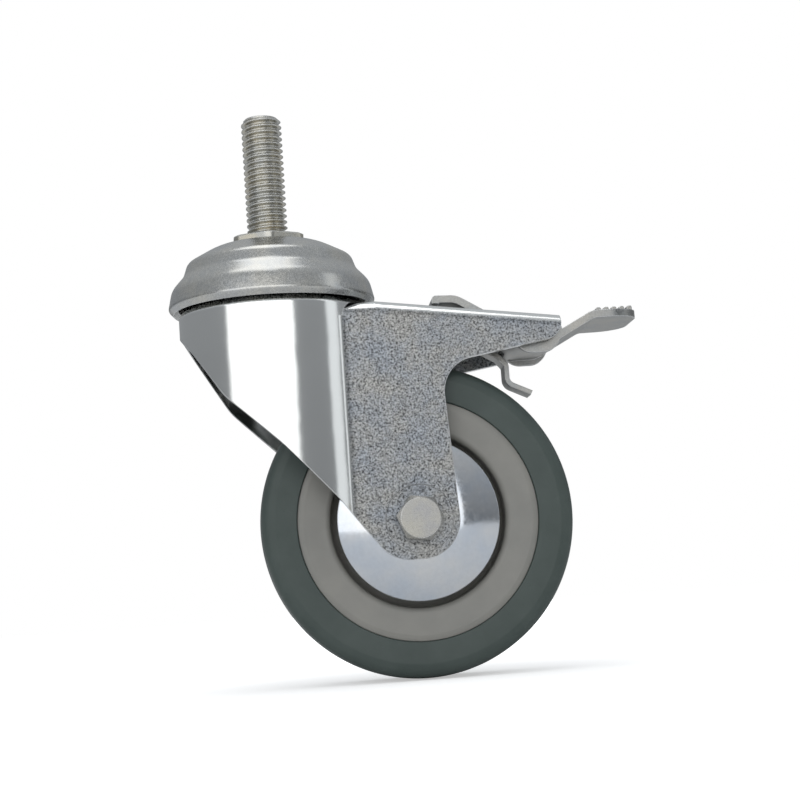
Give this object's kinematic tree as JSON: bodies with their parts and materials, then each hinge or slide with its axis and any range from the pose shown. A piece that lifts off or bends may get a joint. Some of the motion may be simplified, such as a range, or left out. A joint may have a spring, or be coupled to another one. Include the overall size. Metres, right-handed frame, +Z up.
{
  "type": "swivel castor",
  "caption": "Swivel castor with threaded stem, pressed-steel fork, soft grey tyre and a foot-pedal brake that locks wheel and swivel.",
  "frame": {"origin": "on the stem's axis, at the mounting face on top of the hexagonal collar", "axes": "+Z up along the stem, +X towards the trailing wheel and the brake pedal, Y along the axle"},
  "size_m": [0.1136, 0.0504, 0.1396],
  "materials": {
    "zinc_plated_steel": "satin",
    "bearing_steel": "polished",
    "polypropylene": "matte",
    "soft_rubber": "satin",
    "nylon": "satin"
  },
  "bodies": {
    "stem": {"threaded_stem": "zinc_plated_steel", "top_cup": "zinc_plated_steel", "lock_ring": "zinc_plated_steel"},
    "fork": {"fork": "zinc_plated_steel", "upper_balls": "bearing_steel", "lower_balls": "bearing_steel", "axle_bolt": "zinc_plated_steel", "axle_nut": "zinc_plated_steel", "nut_insert": "nylon", "axle_sleeve": "zinc_plated_steel", "thread_guard_near": "zinc_plated_steel", "thread_guard_far": "zinc_plated_steel", "bearing_inner_ring_near": "bearing_steel", "bearing_inner_ring_far": "bearing_steel", "pedal_pin": "zinc_plated_steel", "lever_pin": "zinc_plated_steel"},
    "wheel": {"tyre": "soft_rubber", "wheel_core": "polypropylene", "bearing_outer_ring_near": "bearing_steel", "bearing_outer_ring_far": "bearing_steel", "bearing_balls_near": "bearing_steel", "bearing_balls_far": "bearing_steel"},
    "pedal": {"brake_pedal": "zinc_plated_steel"},
    "lever": {"brake_lever": "zinc_plated_steel"}
  },
  "joints": [
    {"name": "swivel", "type": "hinge", "parent": "stem", "child": "fork", "pos_m": [0, 0, 0], "axis": [0, 0, 1], "continuous": true},
    {"name": "wheel_spin", "type": "hinge", "parent": "fork", "child": "wheel", "pos_m": [0.0314, 0, -0.0722], "axis": [0, 1, 0], "continuous": true},
    {"name": "pedal_press", "type": "hinge", "parent": "fork", "child": "pedal", "pos_m": [0.062, 0, -0.0292], "axis": [0, 1, 0], "range_deg": [0, 15]},
    {"name": "lever_swing", "type": "hinge", "parent": "fork", "child": "lever", "pos_m": [0.028, 0, -0.026], "axis": [0, 1, 0], "range_deg": [0, 4.35]}
  ],
  "couplings": [
    {"joint": "lever_swing", "follows": "pedal_press", "ratio": 0.29}
  ]
}
